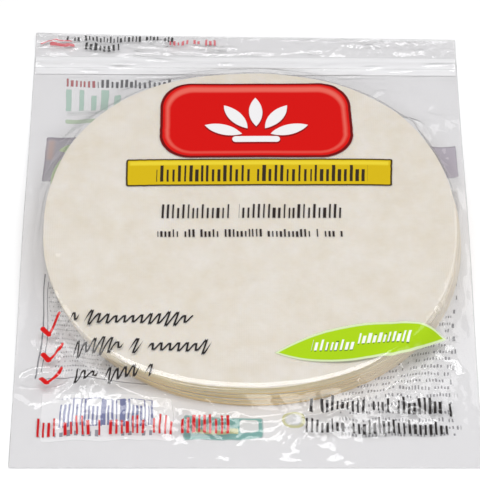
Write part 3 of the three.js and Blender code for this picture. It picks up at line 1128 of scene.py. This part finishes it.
CLEAR_COLOUR = (0.957, 0.954, 0.957, 1)
# See-through colour of film seen edge-on: darker partly for the longer path through the film, partly as
# painted shade for dark reflections on steep folds and on the film wall before the stack.
EDGE_ON_ABSORPTION_AND_SHADE = (0.60, 0.60, 0.61, 1)
HAZE_COLOUR = (0.84, 0.84, 0.85, 1)
HAZE_COVER = 0.08
STREAKS_FROM = 114.0  # mm up the flat film, from where it is streaked along the zip
CREASE_HEIGHT = 0.5 * MM  # of the finest creases
GLOSS_ROUGHNESS = 0.07
PRINT_WANDER = (2.0, 6.0, 0.0)  # mm over which crinkled film makes its print wander


def build_crinkle_group():
    """Fine creases in slack film: a height that is busy where Slack is 1 and calm where it is 0."""
    tree, entry, result = start_group("film crinkle", (), ("Slack",), output="Height")
    broad = noise(entry["Place"], 0.085, 1.0, 0.5, "RIDGED_MULTIFRACTAL")
    fine = noise(entry["Place"], 0.21, 0.6, 0.5, "RIDGED_MULTIFRACTAL")
    height = times_plus(fine, 0.45, broad)
    height = times(height, entry["Slack"])
    up = parts_of(entry["Place"])[1]
    strip = times_plus(up, 0.2, -0.2 * STREAKS_FROM, clamp=True)
    long_place = vectors("MULTIPLY", entry["Place"], (0.16, 1.0, 1.0))
    streaks = noise(long_place, 0.22, 1.5, 0.6, "RIDGED_MULTIFRACTAL")
    height = times_plus(times(streaks, 5.0), strip, height)
    tree.links.new(height, result)
    return tree


crinkle_group = build_crinkle_group()


def make_film(name, print_layers):
    """Clear film: mostly see-through, darker edge-on (partly painted shade), a little haze, ink where it
    is printed, and a gloss over all.
    """
    material, tree, output = start_material(name)
    flat_place = add_node(tree, "UVMap", uv_map="film_mm").outputs["UV"]
    slack = add_node(tree, "Attribute", attribute_name="slack").outputs["Fac"]
    inputs = {"Vector": flat_place, "Scale": 0.07, "Detail": 1.0}
    wander = add_node(tree, "TexNoise", inputs).outputs["Color"]
    wander = vectors("SUBTRACT", wander, (0.5, 0.5, 0.5))
    wander = vectors("MULTIPLY", wander, PRINT_WANDER)
    place = vectors("ADD", flat_place, scaled(wander, maths("MINIMUM", slack, 1.0)))
    colour, cover = HAZE_COLOUR, HAZE_COVER
    for ink, opacity, shapes in print_layers:
        mask = None
        for group, values in shapes:
            one = use_group(group, {"Place": place, **values})["Mask"]
            mask = one if mask is None else maths("MAXIMUM", mask, one)
        colour = blend_colours(mask, colour, (*ink, 1))
        if opacity < 1:
            mask = times(mask, opacity)
        cover = maths("MAXIMUM", cover, mask)
    height = use_group(crinkle_group, {"Place": flat_place, "Slack": slack})["Height"]
    inputs = {"Strength": 1.0, "Distance": CREASE_HEIGHT, "Height": height}
    normal = add_node(tree, "Bump", inputs).outputs["Normal"]
    facing = add_node(tree, "LayerWeight", {"Blend": 0.5, "Normal": normal}).outputs["Facing"]
    # Edge-on film is darkened: partly its longer path through the film, partly painted shade.
    edge_on_absorption_and_shade = maths("POWER", facing, 4.0)
    see_through = blend_colours(edge_on_absorption_and_shade, CLEAR_COLOUR, EDGE_ON_ABSORPTION_AND_SHADE)
    clear = add_node(tree, "BsdfTransparent", {"Color": see_through})
    inputs = {"Base Color": colour, "Roughness": 0.4, "Specular IOR Level": 0.04, "Normal": normal}
    ink = add_node(tree, "BsdfPrincipled", inputs)
    body = add_node(tree, "MixShader", {0: cover, 1: clear.outputs[0], 2: ink.outputs[0]})
    gloss = add_node(tree, "BsdfGlossy", {"Roughness": GLOSS_ROUGHNESS, "Normal": normal})
    shine = times_plus(maths("POWER", facing, 5.0), 0.6, 0.052)
    shell = add_node(tree, "MixShader", {0: shine, 1: body.outputs[0], 2: gloss.outputs[0]})
    tree.links.new(shell.outputs[0], output.inputs["Surface"])
    return material


# ---- rice paper


def make_rice_paper():
    """Dried rice paper: cream, faintly mottled and marked by its drying mat, tan at the cut rim, which
    is painted paler where light falls on the stack's sides.
    """
    material, tree, output = start_material("rice_paper")
    place = add_node(tree, "TexCoord").outputs["Object"]
    rim = add_node(tree, "Attribute", attribute_name="rim").outputs["Fac"]
    tone = add_node(tree, "Attribute", attribute_name="tone").outputs["Fac"]
    cloud = noise(place, 55.0, 3.0, 0.55)
    patches = noise(place, 130.0, 2.0, 0.6)
    fibres = noise(vectors("MULTIPLY", place, (1.0, 3.0, 1.0)), 420.0, 2.0, 0.6)
    mottle = times_plus(patches, 0.9, times_plus(fibres, 0.5, cloud))
    mottle = times_plus(minus(mottle, 1.2), 1.5, 0.5, clamp=True)
    face = blend_colours(mottle, (0.745, 0.665, 0.545, 1), (0.815, 0.755, 0.675, 1))
    edge = blend_colours(tone, (0.96, 0.64, 0.24, 1), (1.0, 0.87, 0.50, 1))
    side = parts_of(place)
    # The rim keeps its own tan at the front. Towards the back, the right and the left it is painted
    # paler: painted light where the stack's sides are lit, and at the left front where hazy film lies
    # over the rim.
    rim_tan_kept = times_plus(side[1], -25.0, -1.1, clamp=True)
    for rise, start in ((9.0, -0.3), (-20.0, -0.95)):
        painted_lit_side = times_plus(side[0], rise, start, clamp=True)
        rim_tan_kept = minus(rim_tan_kept, painted_lit_side, clamp=True)
    # Painted light: where the tan is not kept, the rim takes this pale cream as if lit.
    edge = blend_colours(rim_tan_kept, (0.90, 0.81, 0.66, 1), edge)
    colour = blend_colours(rim, face, edge)
    inputs = {"Vector": place, "Scale": 260.0, "Distortion": 1.2, "Detail": 1.0}
    rows = add_node(tree, "TexWave", inputs, bands_direction="Y").outputs["Fac"]
    columns = add_node(tree, "TexWave", inputs, bands_direction="X").outputs["Fac"]
    weave = times_plus(rows, 0.6, columns)
    weave = times_plus(cloud, 2.0, weave)
    inputs = {"Strength": 0.2, "Distance": 0.1 * MM, "Height": weave}
    normal = add_node(tree, "Bump", inputs).outputs["Normal"]
    surface = add_node(tree, "BsdfPrincipled", {
        "Base Color": colour, "Roughness": 0.62, "Specular IOR Level": 0.3, "Normal": normal,
        "Subsurface Weight": 0.25, "Subsurface Scale": 1.5 * MM, "Subsurface Radius": (1.0, 0.75, 0.45),
    })
    tree.links.new(surface.outputs[0], output.inputs["Surface"])
    return material


def make_zip_plastic():
    """Milky zip plastic, faintly streaked along its length."""
    material, tree, output = start_material("zip_plastic")
    place = add_node(tree, "TexCoord").outputs["Object"]
    cloud = noise(vectors("MULTIPLY", place, (0.12, 1.0, 1.0)), 420.0, 3.0, 0.6)
    colour = blend_colours(cloud, (0.82, 0.82, 0.83, 1), (0.94, 0.94, 0.95, 1))
    roughness = times_plus(cloud, 0.15, 0.22)
    milk = add_node(tree, "BsdfPrincipled", {"Base Color": colour, "Roughness": roughness})
    tree.links.new(milk.outputs[0], output.inputs["Surface"])
    return material


def lay_print(piece):
    """Gives each face of the bag plain film, or the film with the print that lies there."""
    faces = piece.data.polygons
    side = read_all(faces, "material_index")
    corners = read_all(piece.data.uv_layers["film_mm"].data, "uv", 2)
    place = corners.reshape(len(faces), 4, 2).mean(axis=1)
    piece.data.materials.clear()
    piece.data.materials.append(make_film("clear_film", ()))
    chosen = np.zeros(len(faces), dtype=int)
    for film, prints in enumerate((FRONT_PRINT, BACK_PRINT)):
        for name, fields, layers in prints:
            piece.data.materials.append(make_film(name, layers))
            for low_x, high_x, low_y, high_y in fields:
                inside = (place > (low_x, low_y)).all(axis=1) & (place < (high_x, high_y)).all(axis=1)
                chosen[inside & (side == film)] = len(piece.data.materials) - 1
    faces.foreach_set("material_index", chosen)


lay_print(bag_film)
rice_sheets.data.materials.append(make_rice_paper())
zip_track.data.materials.append(make_zip_plastic())

# ---- what each piece rides on

for piece, slot in ((bag_film, "clear_film"), (rice_sheets, "rice_paper"), (zip_track, "clear_film")):
    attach(piece, "root")
    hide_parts("bag")
